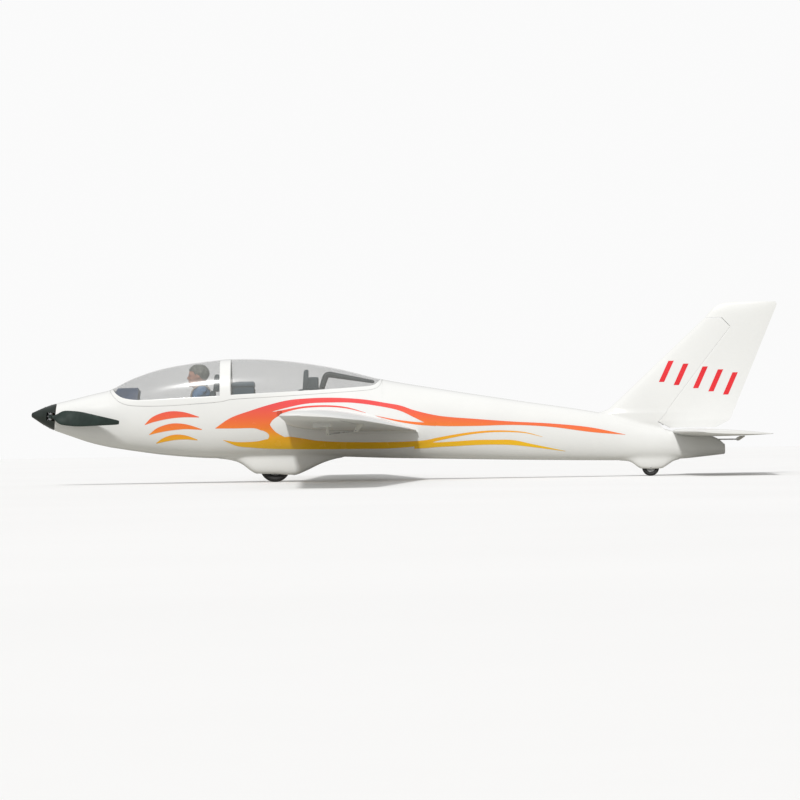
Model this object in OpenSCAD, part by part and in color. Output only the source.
// Electric two-seat aerobatic sailplane model, standing on its two wheels.
// X runs aft, Y to starboard and Z up from the ground. The origin is on the ground,
// midway between nose and tail and midway between the wing tips.

/* [Wing] */
// Distance from wing tip to wing tip
span = 2100; // [1900:50:2300]
// Chord of the wing where it meets the fuselage
root_chord = 195; // [188:1:198]
// Chord of the wing where the rounded tip begins
tip_chord = 105; // [95:1:115]
// Nose-up angle of the wing root to the ground
root_incidence = 5.3; // [4.5:0.1:6]
// Thickness of the root section as a share of its chord
root_thickness = 0.148; // [0.13:0.002:0.155]

/* [Tail] */
// Distance from tip to tip of the tailplane
stab_span = 480; // [440:10:520]
// Thickness of the fin as a share of its chord
fin_thickness = 0.085; // [0.08:0.005:0.1]

/* [Fuselage] */
// Thickness of the moulded fuselage skin
skin = 1.6; // [1.2:0.1:2]
// Thickness of the clear canopy
glass = 1; // [0.8:0.1:1.4]
// Thickness of the canopy frame
frame_skin = 2.6; // [2:0.2:3]

/* [Propeller] */
// Nose-up angle of the thrust line to the ground
thrust_angle = 5.85; // [5:0.05:6.5]
// Radius of the spinner at its base
spinner_r = 20; // [19.5:0.1:20.5]
// Length of the spinner
spinner_len = 36; // [33:1:38]
// Length of a blade from its hinge pin
blade_len = 118; // [100:1:120]
// Angle that the folded blades stand out from the thrust line
blade_splay = 26; // [26:1:30]

/* [Wheels] */
// Radius of the main wheel
main_r = 23; // [22.5:0.1:23.5]
// Radius of the tail wheel
tail_r = 12.8; // [12.4:0.1:13]

/* [Hidden] */
$fn = 48;
e = 0.01;
white = [0.95, 0.95, 0.94];
dark = [0.12, 0.12, 0.13];

// ---------- Small helpers ----------

function unit(v) = v / norm(v);
function power(b, p) = sign(b) * pow(abs(b), p);

// Smooth curve through the rows of a table; the first column is the place along it.
function row_at(t, x, i = 0) = (i >= len(t) - 2 || x < t[i + 1][0]) ? i : row_at(t, x, i + 1);
function slope(t, i, c) =
    let (a = max(i - 1, 0), b = min(i + 1, len(t) - 1))
    (t[b][c] - t[a][c]) / (t[b][0] - t[a][0]);
function along(t, x, c = 1) =
    let (
        i = row_at(t, x),
        h = t[i + 1][0] - t[i][0],
        u = (x - t[i][0]) / h
    )
    t[i][c] * (2 * u * u * u - 3 * u * u + 1) + slope(t, i, c) * h * (u * u * u - 2 * u * u + u)
    + t[i + 1][c] * (3 * u * u - 2 * u * u * u) + slope(t, i + 1, c) * h * (u * u * u - u * u);

// Closed skin over rings of points that run the same way round.
module loft(rings) {
    m = len(rings[0]);
    n = len(rings);
    sides = [
        for (i = [0:n - 2], j = [0:m - 1])
        let (a = i * m + j, b = i * m + (j + 1) % m)
        each [[a, b + m, b], [a, a + m, b + m]]
    ];
    caps = [[for (j = [0:m - 1]) j], [for (j = [m - 1:-1:0]) (n - 1) * m + j]];
    polyhedron(points = [for (r = rings) each r], faces = concat(sides, caps), convexity = 6);
}

// Puts children at o with their x axis along x and their z axis along z.
module placed(o, x, z) {
    y = cross(z, x);
    multmatrix([[x.x, y.x, z.x, o.x], [x.y, y.y, z.y, o.y], [x.z, y.z, z.z, o.z], [0, 0, 0, 1]])
        children();
}

// Round rod or cone from p to q.
module rod(p, q, r1, r2 = -1) {
    d = q - p;
    translate(p)
        rotate([0, acos(d.z / norm(d)), atan2(d.y, d.x)])
            cylinder(h = norm(d), r1 = r1, r2 = r2 < 0 ? r1 : r2);
}

// Side outline in X and Z, extruded across the fuselage.
module side_prism(points, half) {
    rotate([90, 0, 0])
        linear_extrude(2 * half, center = true)
            polygon(points);
}

module port() {
    mirror([0, 1, 0])
        children();
}

// ---------- Fuselage shape ----------

// Place along X, top, bottom, half width, height of the widest level, section exponent.
STATIONS = [
    [-522, 123.6, 82.2, 20.7, 102.9, 2.0],
    [-500, 128.4, 74.0, 25.2, 103.0, 2.05],
    [-470, 135.2, 63.0, 30.3, 103.0, 2.1],
    [-441, 141.5, 55.8, 34.6, 103.0, 2.15],
    [-438, 143.0, 55.3, 35.0, 103.0, 2.15],
    [-405, 159.0, 49.8, 39.2, 104.0, 2.2],
    [-360, 172.8, 43.3, 43.5, 105.0, 2.25],
    [-299, 182.0, 37.8, 47.0, 106.0, 2.3],
    [-245, 185.4, 36.8, 48.0, 106.0, 2.3],
    [-173, 181.0, 36.5, 47.0, 105.0, 2.3],
    [-101, 169.0, 36.5, 43.8, 101.0, 2.25],
    [-32, 151.3, 33.6, 38.5, 93.0, 2.2],
    [60, 134.5, 30.7, 32.0, 83.0, 2.1],
    [168, 116.5, 27.5, 26.0, 72.0, 2.1],
    [296, 95.4, 24.6, 20.0, 59.0, 2.1],
    [370, 76.0, 24.0, 16.0, 48.0, 2.1],
    [420, 62.5, 25.5, 12.5, 42.0, 2.1],
    [452, 59.8, 28.4, 9.6, 40.2, 2.1],
    [464, 57.0, 29.6, 8.4, 39.4, 2.1],
    [472, 52.6, 30.4, 7.6, 38.8, 2.05],
    [478, 47.0, 31.0, 7.0, 38.5, 2.0]
];
nose_x = -522;
tail_x = 478;
thrust_z = 102.9;
lean_end = -470;

// The nose rings lean with the thrust line, and stand upright from lean_end aft.
function lean(x) = tan(thrust_angle) * max(0, min(1, (lean_end - x) / (lean_end - nose_x)));

function hull_ring(x, inset, seg) =
    let (
        top = along(STATIONS, x, 1) - inset,
        bottom = along(STATIONS, x, 2) + inset,
        half = along(STATIONS, x, 3) - inset,
        mid = along(STATIONS, x, 4),
        p = 2 / along(STATIONS, x, 5)
    )
    [
        for (k = [0:seg - 1])
        let (
            t = 360 * k / seg,
            z = mid + (sin(t) >= 0 ? top - mid : mid - bottom) * power(sin(t), p)
        )
        [x + (z - thrust_z) * lean(x), half * power(cos(t), p), z]
    ];

// Half width of the hull at a height above its widest level.
function hull_half(x, z, inset = 0) =
    let (
        n = along(STATIONS, x, 5),
        mid = along(STATIONS, x, 4),
        f = max(0, min(1, (z - mid) / (along(STATIONS, x, 1) - inset - mid)))
    )
    (along(STATIONS, x, 3) - inset) * pow(1 - pow(f, n), 1 / n);

module hull_body(x0, x1, count, inset, seg) {
    loft([for (i = [0:count]) hull_ring(x0 + (x1 - x0) * i / count, inset, seg)]);
}

// Rings close together where the nose and canopy curve, wider apart along the boom.
module outer_hull() {
    xs = concat([for (x = [nose_x:13:lean_end]) x], [for (x = [-455:15:-60]) x],
        [for (x = [-40:40:440]) x], [460, tail_x]);
    loft([for (x = xs) hull_ring(x, 0, 36)]);
}

// Lower edge of the canopy: place along X and height.
PARTING = [
    [-441.5, 142.5], [-433, 130], [-422, 121.5], [-405, 117.2], [-361, 116], [-300, 119], [-273, 121],
    [-258, 124], [-200, 126.8], [-147, 129.5], [-60, 134.6], [-44, 137], [-36, 142], [-31.5, 152]
];
// Lower edge of the clear part, ahead of the hoop and behind it.
GLASS_FRONT = [[-438, 146], [-430, 135.5], [-418, 129], [-396, 126], [-340, 127.6], [-274.4, 130.2]];
GLASS_REAR = [[-258.4, 131.2], [-158, 135.4], [-60, 140.8], [-44, 143.6], [-34.5, 151.5]];
above = 210;

function closed_up(edge) = concat(edge, [[edge[len(edge) - 1].x, above], [edge[0].x, above]]);

module canopy_shell(thick) {
    difference() {
        hull_body(-443, -28, 24, 0, 36);
        hull_body(-444, -27, 16, thick, 28);
    }
}

// ---------- Fairings on the fuselage ----------

// Belly fairing: place, bottom, half width.
BELLY = [
    [-279, 40, 8], [-262, 35, 14], [-245, 28, 17.5], [-230, 16.5, 18.8], [-222, 12.8, 19],
    [-195, 11.6, 19], [-166, 10, 18.5], [-148, 16.5, 17], [-125, 27, 14], [-92, 38, 8]
];
// Tail wheel fairing: place, bottom, half width.
TAIL_FAIRING = [
    [322, 26, 6], [333, 24, 7.8], [341, 20, 9], [348, 14.5, 9.8], [354, 11, 10], [384, 11, 10],
    [393, 16, 9.4], [402, 21.8, 8], [410, 25.5, 6.5]
];

function fairing_ring(x, bottom, half, top) =
    [
        for (k = [0:23])
        let (t = 15 * k)
        [x, half * power(cos(t), 0.42), top + (sin(t) > 0 ? 8 : top - bottom) * power(sin(t), 0.42)]
    ];

module fairing(table, top, count) {
    x0 = table[0].x;
    x1 = table[len(table) - 1].x;
    loft([
        for (i = [0:count])
        let (x = x0 + (x1 - x0) * i / count)
        fairing_ring(x, along(table, x, 1), along(table, x, 2), top)
    ]);
}

// ---------- Wing shape ----------

half_span = span / 2;
wing_root_y = 50;
root_le = -178;
tip_y = half_span - 50;
tip_le = -160;
tip_incidence = 4;

function wing_share(y) = (y - wing_root_y) / (tip_y - wing_root_y);
function wing_le(y) = root_le + (tip_le - root_le) * wing_share(y);
function wing_chord(y) = root_chord + (tip_chord - root_chord) * wing_share(y);
function wing_angle(y) = root_incidence + (tip_incidence - root_incidence) * wing_share(y);
function wing_z(y) = 92.4 + 1.1 * wing_share(y);
function wing_thick(y) = root_thickness + (0.11 - root_thickness) * wing_share(y);

// Half thickness of the section for a thickness of one chord, and its camber line.
function half_thick(u) =
    5 * (0.2969 * sqrt(u) - 0.126 * u - 0.3516 * u * u + 0.2843 * pow(u, 3) - 0.1036 * pow(u, 4));
// Half the real thickness: the trailing edge is blunt.
edge_half = 0.35;
function solid_half(u, thick) = half_thick(u) * thick + edge_half * u;
camber = 0.025;
function camber_at(u) =
    u < 0.4 ? camber / 0.16 * (0.8 * u - u * u) : camber / 0.36 * (0.2 + 0.8 * u - u * u);

// A section: nose, chord, height of the nose, angle, thickness share, camber on or off.
function section(y, le, chord, z, angle, thick, bend) =
    let (
        upper = [for (k = [0:12]) [0.5 - 0.5 * cos(15 * k), 1]],
        lower = [for (k = [12:-1:1]) [0.5 - 0.5 * cos(15 * k), -1]]
    )
    [
        for (p = concat(upper, lower))
        let (
            a = p.x * chord,
            h = bend * camber_at(p.x) * chord
                + p.y * solid_half(p.x, thick * chord)
        )
        [le + a * cos(angle) + h * sin(angle), y, z - a * sin(angle) + h * cos(angle)]
    ];
function wing_section(y) =
    section(y, wing_le(y), wing_chord(y), wing_z(y), wing_angle(y), wing_thick(y), 1);
// Rounded tip: the share of the tip reached, and what is left of the chord and thickness there.
function tip_section(s) =
    let (
        keep = sqrt(1 - s * s * 0.86),
        lost = tip_chord * (1 - keep)
    )
    section(tip_y + 50 * s, tip_le + 0.4 * lost, tip_chord * keep, wing_z(tip_y), tip_incidence,
        wing_thick(tip_y) * keep, 1);

module wing_whole() {
    color(white)
        loft(concat([for (y = [wing_root_y, 400, 700, tip_y]) wing_section(y)],
            [for (s = [0.4, 0.7, 0.88, 0.97, 1]) tip_section(s)]));
}

// A point of the hinge line, which runs along the middle of the section.
hinge_share = 0.74;
function hinge_point(y) =
    let (
        c = wing_chord(y),
        a = hinge_share * c,
        h = camber_at(hinge_share) * c,
        w = wing_angle(y)
    )
    [wing_le(y) + a * cos(w) + h * sin(w), y, wing_z(y) - a * sin(w) + h * cos(w)];
function hinge_r(y) = solid_half(hinge_share, wing_thick(y) * wing_chord(y)) - 0.1;

ail_in = 560;
ail_out = tip_y - 15;
ail_p = hinge_point(ail_in);
ail_q = hinge_point(ail_out);
ail_axis = unit(ail_q - ail_p);
gap = 0.5;
wire_r = 0.8;

module hinge_zone(p, q, ra, rb, grow, span_gap) {
    d = unit(q - p);
    rod(p - span_gap * d, q + span_gap * d, ra + grow, rb + grow);
    translate([0, 0, 40])
        linear_extrude(120)
            polygon([
                [p.x, p.y - span_gap], [q.x, q.y + span_gap],
                [q.x + 90, q.y + span_gap], [q.x + 90, p.y - span_gap]
            ]);
}

// ---------- Control linkages: axis, hinge point, servo shaft, arm direction, arm length ----------

ail_y = 700;
ail_hinge = hinge_point(ail_y);
ail_down = unit(cross(ail_axis, [1, 0, 0.06]));
ail_aft = cross(ail_down, ail_axis);
AILERON = [-ail_axis, ail_hinge, ail_hinge - 38 * ail_aft + 2 * ail_down, ail_down, 14];

rudder_foot = [383, 0, 82];
rudder_head = [492, 0, 221];
rudder_axis = unit(rudder_head - rudder_foot);
rudder_fore = [-rudder_axis.z, 0, rudder_axis.x];
rudder_at = rudder_foot + 52 * rudder_axis;
RUDDER = [rudder_axis, rudder_at, rudder_at + 30 * rudder_fore, [0, 1, 0], 13];

elevator_hinge = [500, 9, 61.85];
ELEVATOR = [[0, 1, 0], elevator_hinge, [240, 9, 64], [0, 0, -1], 9];

arm_t = 1.6;

module servo(l) {
    color(dark)
        placed(l[2], l[3], l[0])
            union() {
                translate([-4.5, -17, -26])
                    cube([9, 23, 22]);
                translate([0, 0, -4 - e])
                    cylinder(h = 2 + e, r = 4);
                translate([0, 0, -2 - e])
                    cylinder(h = 3 + e, r = 1.95);
            }
}

module servo_arm(l) {
    color("ivory")
        placed(l[2], l[3], l[0])
            difference() {
                union() {
                    translate([0, 0, -arm_t / 2])
                        cylinder(h = arm_t + 0.8, r = 3.6);
                    translate([2.2, -1.7, -arm_t / 2])
                        cube([l[4] - 2.2, 3.4, arm_t]);
                    translate([l[4], 0, -arm_t / 2])
                        cylinder(h = arm_t, r = 2.2);
                }
                translate([0, 0, -2])
                    cylinder(h = 5, r = 2);
                translate([l[4], 0, -2])
                    cylinder(h = 4, r = 0.85);
            }
}

// The rod lies beside the arm and the horn, with a bent end through each.
module pushrod(l) {
    beside = 2.1 * l[0];
    a = l[2] + l[4] * l[3];
    b = l[1] + l[4] * l[3];
    run = unit(b - a);
    color("silver")
        union() {
            rod(a + beside - 1.2 * run, b + beside + 1.2 * run, 0.95);
            for (p = [a, b])
                rod(p - 1.5 * l[0], p + beside, 0.7);
        }
}

// Horn plate: base and rear are its distances from the hinge axis at its front and back.
module horn(l, base, rear, aft = 1) {
    color("ivory")
        placed(l[1], l[3], l[0])
            difference() {
                union() {
                    linear_extrude(arm_t, center = true)
                        polygon([
                            [base, aft * 3], [rear, aft * 11], [rear + 1.3, aft * 11],
                            [l[4] + 2, aft * 2.2], [l[4] + 1.6, aft * -2.2], [l[4] - 2, aft * -2]
                        ]);
                    translate([l[4], 0, -arm_t / 2])
                        cylinder(h = arm_t, r = 2.2);
                }
                translate([l[4], 0, -2])
                    cylinder(h = 4, r = 1.2);
            }
}

// ---------- Tailplane and fin ----------

stab_le = 401;
stab_hinge_x = 500;
stab_angle = 2.4;
stab_thick = 0.078;
function stab_z(x) = 66 - (x - stab_le) * tan(stab_angle);
stab_hinge_z = stab_z(stab_hinge_x);
stab_half = stab_span / 2;
stab_bolt_x = [420, 448];
function stab_section(s, grow = 0) =
    let (
        round_off = s > 0.93 ? sqrt(1 - pow((s - 0.93) / 0.07, 2) * 0.8) : 1,
        le = stab_le + 24 * s + 14 * (1 - round_off),
        chord = (545 - 12 * s - 6 * (1 - round_off)) - le
    )
    section(s * stab_half, le - grow, chord + grow, stab_z(le - grow), stab_angle,
        stab_thick * round_off + grow * 0.006, 0);
module stab_whole(grow = 0) {
    shares = [0.93, 0.97, 0.99, 1];
    color(white)
        loft(concat([for (k = [3:-1:0]) mirror_y(stab_section(shares[k], grow))],
            [stab_section(0, grow)], [for (s = shares) stab_section(s, grow)]));
}
function mirror_y(ring) = [for (p = ring) [p.x, -p.y, p.z]];
elevator_q = [stab_hinge_x, stab_half * 0.96, stab_hinge_z];
elevator_p = elevator_q - [0, 2 * elevator_q.y, 0];
elevator_r_root = 3.65;
elevator_r_tip = 2.7;

// Heights of the fin and rudder with the nose and the tail of the section there.
FIN = [
    [60, 262, 462, 1], [71, 270, 466, 1], [82, 276, 488, 1], [94.5, 283, 493.5, 1], [97, 295, 494.5, 1],
    [101, 306, 496.5, 1], [110, 316.3, 500, 1], [236, 453, 553.6, 1], [247, 462.5, 558.3, 0.9],
    [254.5, 472.5, 561.2, 0.6], [257.6, 482, 560.2, 0.35], [258.6, 496, 559, 0.2]
];
fin_top = 236;
function fin_ring(f) =
    let (
        c = f[2] - f[1],
        t = fin_thickness * f[3],
        s = [for (k = [12:-1:1]) 0.5 - 0.5 * cos(15 * k)]
    )
    [
        for (p = concat([for (u = s) [u, 1]], [for (k = [0:12]) [0.5 - 0.5 * cos(15 * k), -1]]))
        [f[1] + p.x * c, p.y * solid_half(p.x, t * c), f[0]]
    ];
module fin_whole() {
    loft([for (f = FIN) fin_ring(f)]);
}
function rudder_r(z) =
    let (f = (z - 110) / (236 - 110), c = 183.7 + (100.6 - 183.7) * f)
    solid_half(0.49, fin_thickness * c) - 0.1;
module rudder_zone(grow) {
    f = rudder_foot - (grow + 2) * rudder_axis;
    h = rudder_head + (grow + 0.5) * rudder_axis;
    floor_z = grow > 0 ? 58 : 71.5;
    rod(f, h, rudder_r(80) + grow * 0.9, rudder_r(221) + grow * 0.5);
    side_prism([
        [f.x, f.z], [rudder_head.x, 221 - grow], [478, fin_top - grow], [420, fin_top - grow],
        [420, 280], [600, 280], [600, floor_z], [398, floor_z]
    ], 40);
}

// ---------- Fuselage, canopy and their fittings ----------

joiner_r = 5;
joiner_at = [-115, 0, 88.5];
pin_at = [-38, 0, 81];
main_at = [-195, 0, main_r];
tail_at = [368, 0, tail_r];
magnet_r = 4;
magnet_x = [-385, -75];

function parting_z(x) = along(PARTING, x);
function magnet_y(x) = hull_half(x, parting_z(x), skin + 0.6) - magnet_r - 2.4;

module wing_stub() {
    intersection() {
        loft([for (y = [20, wing_root_y - 0.2])
            section(y, root_le, root_chord, 92.4, root_incidence, root_thickness, 1)]);
        translate([-200, 20, 40])
            cube([240, 40, 100]);
    }
}

module fuselage_shell() {
    color(white)
        difference() {
            union() {
                outer_hull();
                fairing(BELLY, 60, 20);
                fairing(TAIL_FAIRING, 45, 12);
                difference() {
                    fin_whole();
                    rudder_zone(1);
                }
                wing_stub();
                port()
                    wing_stub();
            }
            hull_body(-522.6, 470, 40, skin, 28);
            side_prism(closed_up(PARTING), 70);
            rod(joiner_at - [0, 60, 0], joiner_at + [0, 60, 0], joiner_r + 0.05);
            rod(pin_at - [0, 60, 0], pin_at + [0, 60, 0], 2.05);
            translate([main_at.x - 27, -14.2, -5])
                cube([54, 28.4, 54]);
            translate([tail_at.x - 15.5, -5.4, -5])
                cube([31, 10.8, 33]);
            rod(tail_at - [0, 20, 0], tail_at + [0, 20, 0], 1.02);
            stab_whole(1);
            for (x = stab_bolt_x)
                translate([x, 0, 40])
                    cylinder(h = 40, r = 1.6);
            translate([386, 6.5, 46])
                cube([76, 12, 12]);
            placed(RUDDER[2], RUDDER[3], RUDDER[0])
                translate([-4.7, -17.4, -26.4])
                    cube([30, 23.8, 30]);
            rod(rudder_foot - 8 * rudder_axis, rudder_head + 8 * rudder_axis, wire_r + 0.05);
            nose_slots();
        }
}

// Cooling slots under the nose.
module nose_slots() {
    for (side = [-1, 1])
        translate([-500, side * 9 - 2.5, 60])
            cube([24, 5, 18]);
}

module firewall() {
    color("burlywood")
        at_thrust()
            translate([0, 0, -6])
                difference() {
                    cylinder(h = 3, r = 18.6);
                    translate([0, 0, -1])
                        cylinder(h = 5, r = 5.5);
                    for (a = [45:90:315])
                        rotate(a)
                            translate([8, 0, -1])
                                cylinder(h = 5, r = 1.5);
                }
}

module canopy_frame() {
    gap_up = 0.35;
    color(white)
        difference() {
            intersection() {
                canopy_shell(frame_skin);
                translate([0, 0, gap_up])
                    side_prism(closed_up(PARTING), 70);
            }
            side_prism(closed_up(GLASS_FRONT), 80);
            side_prism(closed_up(GLASS_REAR), 80);
        }
}

module canopy_glass(edge) {
    color([0.6, 0.62, 0.62, 0.4])
        intersection() {
            canopy_shell(glass);
            side_prism(closed_up(edge), 70);
        }
}

module magnets(lift) {
    color("silver")
        for (x = magnet_x, side = [-1, 1])
            translate([x, side * magnet_y(x), parting_z(x) + lift])
                cylinder(h = 2, r = magnet_r);
}

// Tub that floors the cockpit, with a raised deck behind the rear seat.
module cockpit_tray() {
    floor_z = 108;
    xs = [for (x = [-330:20:-50]) x];
    rim = [for (x = xs) [x, hull_half(x, floor_z + 2, skin) - 0.6]];
    color("wheat")
        union() {
            translate([0, 0, floor_z])
                linear_extrude(2)
                    polygon(concat(rim, [for (k = [len(rim) - 1:-1:0]) [rim[k].x, -rim[k].y]]));
            side_prism([[-112, 110 - e], [-112, 128], [-58, 136], [-58, 134], [-110, 126.4], [-110, 110 - e]],
                22.5);
        }
}

module panel_front() {
    color([0.16, 0.2, 0.26])
        intersection() {
            hull_body(-436, -394, 8, frame_skin + 0.8, 32);
            side_prism([[-434, 140], [-428, 150], [-397, 144.5], [-400, 112], [-416, 112]], 60);
        }
}

module panel_rear() {
    color([0.2, 0.23, 0.27])
        union() {
            translate([-255, -24, 110])
                cube([28, 48, 34]);
            side_prism([[-259, 144 - e], [-259, 149], [-250, 153], [-224, 153], [-223, 144 - e]], 26);
        }
}

module seat(x, back, top, half) {
    color([0.2, 0.21, 0.22])
        union() {
            side_prism([[x, 110], [x, 116], [x + 30, 114], [x + 34, 138], [x + 40, 138], [x + 37, 110]], half);
            side_prism([[x + back, 138 - e], [x + back + 3, top - 3], [x + back + 5, top],
                [x + back + 9, top], [x + back + 9, 138 - e]], half * 0.45);
        }
}

// The rear seat has a wide headrest block behind its post.
module rear_seat() {
    seat(-190, 38, 168, 17);
    color([0.2, 0.21, 0.22])
        translate([-143 - e, -13, 137])
            cube([15, 26, 19]);
}

module pilot_body() {
    color([0.45, 0.6, 0.78])
        union() {
            hull() {
                for (side = [-1, 1])
                    translate([-309, side * 13, 137])
                        sphere(r = 8, $fn = 24);
                translate([-309, 0, 123])
                    scale([1, 1.5, 0.6])
                        sphere(r = 10, $fn = 24);
            }
            translate([-309, 0, 140])
                cylinder(h = 9, r = 5);
        }
}

module pilot_head() {
    color([0.85, 0.66, 0.56])
        union() {
            hull() {
                translate([-309, 0, 165])
                    scale([1.05, 0.9, 1])
                        sphere(r = 12.5, $fn = 28);
                translate([-313, 0, 155])
                    sphere(r = 6.5, $fn = 24);
            }
            translate([-309, 0, 149.2])
                cylinder(h = 8, r = 4.6);
        }
}

function roll_foot(side) = [-132, side * 14, 113.5];
function roll_top(side) = [-116, side * 14, 161.5];
function roll_end(side) = [-46, side * 9, 148];
module roll_frame() {
    color([0.17, 0.18, 0.19])
        union() {
            for (side = [-1, 1]) {
                rod(roll_foot(side), roll_top(side), 3.2);
                rod(roll_top(side), roll_end(side), 3.2, 2);
                translate(roll_top(side))
                    sphere(r = 3.9);
            }
            rod(roll_top(-1), roll_top(1), 3.2);
            rod(roll_end(-1), roll_end(1), 2);
        }
}

module speed_controller() {
    color("darkslateblue")
        translate([-474, -13, 76])
            cube([34, 26, 10]);
}

module battery() {
    color("royalblue")
        translate([-430, -17, 67])
            union() {
                cube([96, 34, 22]);
                translate([-6, 10, 8])
                    cube([6 + e, 14, 7]);
            }
}

module receiver() {
    color("dimgray")
        translate([-140, -12, 97])
            cube([40, 24, 10.5]);
}

// ---------- Motor and propeller, built along the thrust line ----------

spinner_base = [-523.4, 0, thrust_z];
shaft_r = 2;
pin_z = 6;
pin_out = 15;
pin_r = 1.5;

// Local z runs forward along the thrust line, local x upward.
module at_thrust() {
    translate(spinner_base)
        rotate([0, thrust_angle - 90, 0])
            children();
}

module motor_stator() {
    color("dimgray")
        at_thrust()
            difference() {
                union() {
                    translate([0, 0, -9.8])
                        cylinder(h = 3.8, r = 12);
                    translate([0, 0, -34])
                        cylinder(h = 25, r = 5);
                    translate([0, 0, -31])
                        cylinder(h = 15, r = 11);
                }
                translate([0, 0, -40])
                    cylinder(h = 40, r = shaft_r + 0.04);
                for (a = [45:90:315])
                    rotate(a)
                        translate([8, 0, -12])
                            cylinder(h = 8, r = 1.3);
            }
}

module motor_bell() {
    color("silver")
        at_thrust()
            difference() {
                translate([0, 0, -38])
                    cylinder(h = 25, r = 14);
                translate([0, 0, -35])
                    cylinder(h = 30, r = 12.4);
                translate([0, 0, -40])
                    cylinder(h = 40, r = shaft_r);
                for (a = [0:60:300])
                    rotate(a)
                        translate([8, 0, -40])
                            cylinder(h = 10, r = 2.4);
            }
}

module motor_shaft() {
    color("gainsboro")
        at_thrust()
            translate([0, 0, -39])
                cylinder(h = 53, r = shaft_r);
}

module spinner_profile(inset) {
    polygon(concat(
        [[0, 0], [spinner_r - inset, 0]],
        [for (k = [1:7]) let (s = k / 8) [(spinner_r - 2.6) * (1 - pow(s, 1.25)) + 2.6 - inset,
            s * (spinner_len - inset * 0.8)]],
        [[1.6 - inset * 0.6, spinner_len - inset * 0.9 - 0.5], [0, spinner_len - inset]]
    ));
}

module spinner_cone() {
    color(dark)
        at_thrust()
            difference() {
                rotate_extrude()
                    spinner_profile(0);
                translate([0, 0, -e])
                    rotate_extrude()
                        spinner_profile(1.4);
                for (side = [-1, 1])
                    translate([-6, side * 15 - 6, -1])
                        cube([12, 12, 13.5]);
            }
}

module spinner_backplate() {
    color(dark)
        at_thrust()
            translate([0, 0, 0.1])
                difference() {
                    cylinder(h = 1.2, r = spinner_r - 2);
                    translate([0, 0, -1])
                        cylinder(h = 4, r = shaft_r);
                    for (side = [-1, 1])
                        translate([-6, side * 14.5 - 5, -1])
                            cube([12, 10, 4]);
                }
}

module prop_yoke() {
    color("silver")
        at_thrust()
            difference() {
                union() {
                    translate([0, 0, 1.4])
                        cylinder(h = 9.6, r = 6);
                    translate([-5, -pin_out, pin_z - 3.4])
                        cube([10, 2 * pin_out, 6.8]);
                    for (side = [-1, 1])
                        translate([-5, side * pin_out, pin_z])
                            rotate([0, 90, 0])
                                cylinder(h = 10, r = 3.4);
                }
                cylinder(h = 30, r = shaft_r, center = true);
                for (side = [-1, 1]) {
                    translate([-3.2, side * (pin_out + 1) - 6, -2])
                        cube([6.4, 12, 20]);
                    translate([-6, side * pin_out, pin_z])
                        rotate([0, 90, 0])
                            cylinder(h = 12, r = pin_r);
                }
            }
}

module blade_pins() {
    color("gainsboro")
        at_thrust()
            for (side = [-1, 1])
                translate([-5.6, side * pin_out, pin_z])
                    rotate([0, 90, 0])
                        cylinder(h = 11.2, r = pin_r);
}

// Share of the blade, chord, thickness, twist, and how far it bows out past the nose.
BLADE = [
    [0.03, 5.4, 4.2, 90, 1.5], [0.08, 7.4, 4, 62, 6], [0.14, 15, 3.6, 40, 7.2],
    [0.2, 21.5, 3.2, 30, 7.2], [0.34, 23.2, 2.6, 24, 5], [0.46, 22, 2.2, 20, 3],
    [0.7, 14.8, 1.6, 16, 0.8], [0.88, 9.6, 1.2, 13, 0], [0.97, 6.8, 1, 12, 0],
    [1, 5, 0.8, 12, 0]
];
// Ring of a blade that lies along x, hinged about z, with its face towards y.
function blade_ring(b) =
    [
        for (k = [0:13])
        let (
            t = 360 * k / 14,
            c = b[1] / 2 * cos(t),
            h = b[2] / 2 * sin(t),
            w = b[3] - 12
        )
        [b[0] * blade_len, -h * cos(w) + c * sin(w) - b[4], c * cos(w) + h * sin(w)]
    ];

// Built for the port side: from its pin it runs aft and out by the splay angle.
module blade() {
    color(dark)
        at_thrust()
            translate([0, -pin_out, pin_z])
                rotate([-blade_splay, 0, 0])
                    rotate([0, 90, 0])
                        difference() {
                            union() {
                                translate([0, 0, -3])
                                    cylinder(h = 6, r = 3.2);
                                intersection() {
                                    loft([for (b = BLADE) blade_ring(b)]);
                                    translate([2.5, -40, -40])
                                        cube([200, 80, 80]);
                                }
                                translate([0, -1.8, -2.6])
                                    cube([4, 3.6, 5.2]);
                            }
                            translate([0, 0, -10])
                                cylinder(h = 20, r = pin_r + 0.05);
                        }
}

// ---------- Wings ----------

module wing_cuts() {
    hinge_zone(ail_p, ail_q, hinge_r(ail_in), hinge_r(ail_out), gap, 0.8);
    rod(ail_p - 9 * ail_axis, ail_q + 9 * ail_axis, wire_r + 0.05);
    translate([joiner_at.x, 0, joiner_at.z])
        rotate([-90, 0, 0])
            cylinder(h = 200, r = joiner_r + 0.05);
    translate([pin_at.x, 0, pin_at.z])
        rotate([-90, 0, 0])
            cylinder(h = 75, r = 2.05);
    placed(AILERON[2], AILERON[3], AILERON[0])
        translate([-4.7, -17.4, -26.4])
            cube([30, 23.8, 30.4]);
}

module wing_right() {
    color(white)
        difference() {
            wing_whole();
            wing_cuts();
        }
}

module aileron() {
    color(white)
        difference() {
            intersection() {
                wing_whole();
                hinge_zone(ail_p, ail_q, hinge_r(ail_in), hinge_r(ail_out), 0, 0);
            }
            rod(ail_p - 9 * ail_axis, ail_q + 9 * ail_axis, wire_r + 0.05);
        }
}

module wing_joiner() {
    color(dark)
        union() {
            rod(joiner_at - [0, 195, 0], joiner_at + [0, 195, 0], joiner_r);
            rod(pin_at - [0, 70, 0], pin_at + [0, 70, 0], 2);
        }
}

module aileron_wires() {
    color("silver")
        both()
            rod(ail_p - 8 * ail_axis, ail_q + 8 * ail_axis, wire_r);
}

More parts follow.
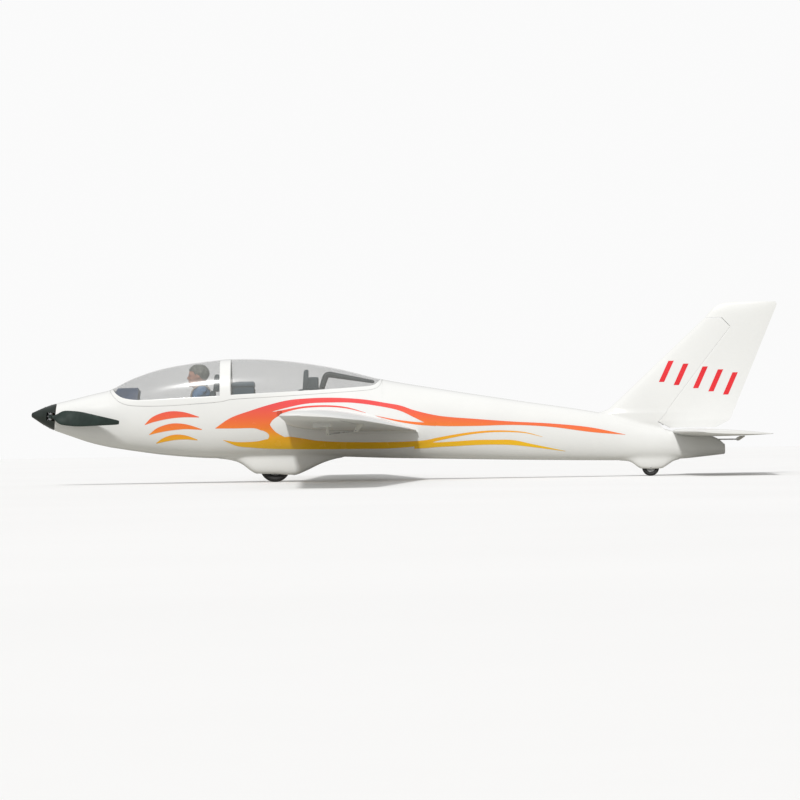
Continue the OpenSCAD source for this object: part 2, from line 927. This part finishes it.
module both() {
    children();
    port()
        children();
}

// ---------- Tail ----------

module stabilizer() {
    color(white)
        difference() {
            stab_whole();
            elevator_zone(gap, 0.8);
            elevator_wire_hole();
            for (x = stab_bolt_x)
                translate([x, 0, 40])
                    cylinder(h = 27, r = 1.6);
        }
}

module elevator_zone(grow, ends) {
    both()
        rod([stab_hinge_x, -e, stab_hinge_z], elevator_q + [0, ends, 0],
            elevator_r_root + grow, elevator_r_tip + grow);
    translate([stab_hinge_x, -elevator_q.y - ends, 30])
        cube([90, 2 * (elevator_q.y + ends), 70]);
}

module elevator_wire_hole() {
    rod(elevator_p - [0, 7, 0], elevator_q + [0, 7, 0], wire_r + 0.05);
}

module elevator() {
    color(white)
        difference() {
            intersection() {
                stab_whole();
                elevator_zone(0, 0);
            }
            elevator_wire_hole();
        }
}

module rudder() {
    color(white)
        difference() {
            intersection() {
                fin_whole();
                rudder_zone(0);
            }
            rod(rudder_foot - 12 * rudder_axis, rudder_head + 12 * rudder_axis, wire_r + 0.05);
        }
}

module tail_hinge_wires() {
    color("silver")
        union() {
            rod(elevator_p - [0, 6, 0], elevator_q + [0, 6, 0], wire_r);
            rod(rudder_foot - 7 * rudder_axis, rudder_head + 7 * rudder_axis, wire_r);
        }
}

module stab_bolts() {
    color("silver")
        for (x = stab_bolt_x)
            translate([x, 0, along(STATIONS, x) - skin - 1.7])
                union() {
                    translate([0, 0, -2.6])
                        cylinder(h = 2.6, r = 2.6);
                    translate([0, 0, -e])
                        cylinder(h = 7 + e, r = 1.5);
                }
}

// ---------- Wheels ----------

module wheel_mount() {
    color("burlywood")
        for (side = [-1, 1])
            translate([main_at.x, side * 12, 0])
                rotate([90, 0, 0])
                    difference() {
                        linear_extrude(3.6, center = true)
                            polygon([[-24, 15.5], [24, 14.5], [26, 48], [-26, 48]]);
                        translate([0, main_r, -5])
                            cylinder(h = 10, r = 2);
                    }
}

module axles() {
    color("silver")
        union() {
            rod(main_at - [0, 14, 0], main_at + [0, 14, 0], 1.98);
            rod(tail_at - [0, 9.2, 0], tail_at + [0, 9.2, 0], 1);
        }
}

module tyre(at, r, half, hub) {
    bulge = half * 0.9;
    color("black")
        translate(at)
            rotate([90, 0, 0])
                rotate_extrude($fn = 72)
                    polygon(concat(
                        [[hub, -half * 0.6], [hub, half * 0.6]],
                        [for (a = [75:-15:-75]) [r - bulge + bulge * cos(a), half * sin(a) / sin(75)]]
                    ));
}

module hub(at, r, half, bore) {
    color("lightgray")
        translate(at)
            rotate([90, 0, 0])
                difference() {
                    union() {
                        cylinder(h = half * 1.1, r = r, center = true);
                        cylinder(h = half * 2, r = bore + 2, center = true);
                    }
                    cylinder(h = 40, r = bore, center = true);
                }
}

fuselage_shell();
firewall();
motor_stator();
motor_bell();
motor_shaft();
spinner_cone();
spinner_backplate();
prop_yoke();
blade_pins();
blade();  // blade_left
port() blade();  // blade_right
speed_controller();
battery();
receiver();
cockpit_tray();
panel_front();
panel_rear();
seat(-322, 36, 163, 17);  // seat_front
rear_seat();  // seat_rear
pilot_body();
pilot_head();
roll_frame();
magnets(-3.4);  // fuselage_magnets
magnets(0.9);  // canopy_magnets
canopy_frame();
canopy_glass(GLASS_FRONT);  // canopy_glass_front
canopy_glass(GLASS_REAR);  // canopy_glass_rear
port() wing_right();  // wing_left
wing_right();
wing_joiner();
port() aileron();  // aileron_left
aileron();  // aileron_right
aileron_wires();  // aileron_hinge_wires
both() servo(AILERON);  // aileron_servos
port() servo_arm(AILERON);  // aileron_arm_left
servo_arm(AILERON);  // aileron_arm_right
port() pushrod(AILERON);  // aileron_pushrod_left
pushrod(AILERON);  // aileron_pushrod_right
port() horn(AILERON, 5.1, 5.7);  // aileron_horn_left
horn(AILERON, 5.1, 5.7);  // aileron_horn_right
stabilizer();
stab_bolts();
elevator();
rudder();
tail_hinge_wires();
servo(ELEVATOR);  // elevator_servo
servo_arm(ELEVATOR);  // elevator_arm
pushrod(ELEVATOR);  // elevator_pushrod
horn(ELEVATOR, 4.1, 3.8, -1);  // elevator_horn
servo(RUDDER);  // rudder_servo
servo_arm(RUDDER);  // rudder_arm
pushrod(RUDDER);  // rudder_pushrod
horn(RUDDER, 7, 6.5, -1);  // rudder_horn
wheel_mount();
axles();
hub(main_at, 13, 8.5, 2.03);  // main_hub
tyre(main_at, main_r, 7, 13);  // main_tyre
hub(tail_at, 7, 4.6, 1.05);  // tail_hub
tyre(tail_at, tail_r, 3.9, 7);  // tail_tyre
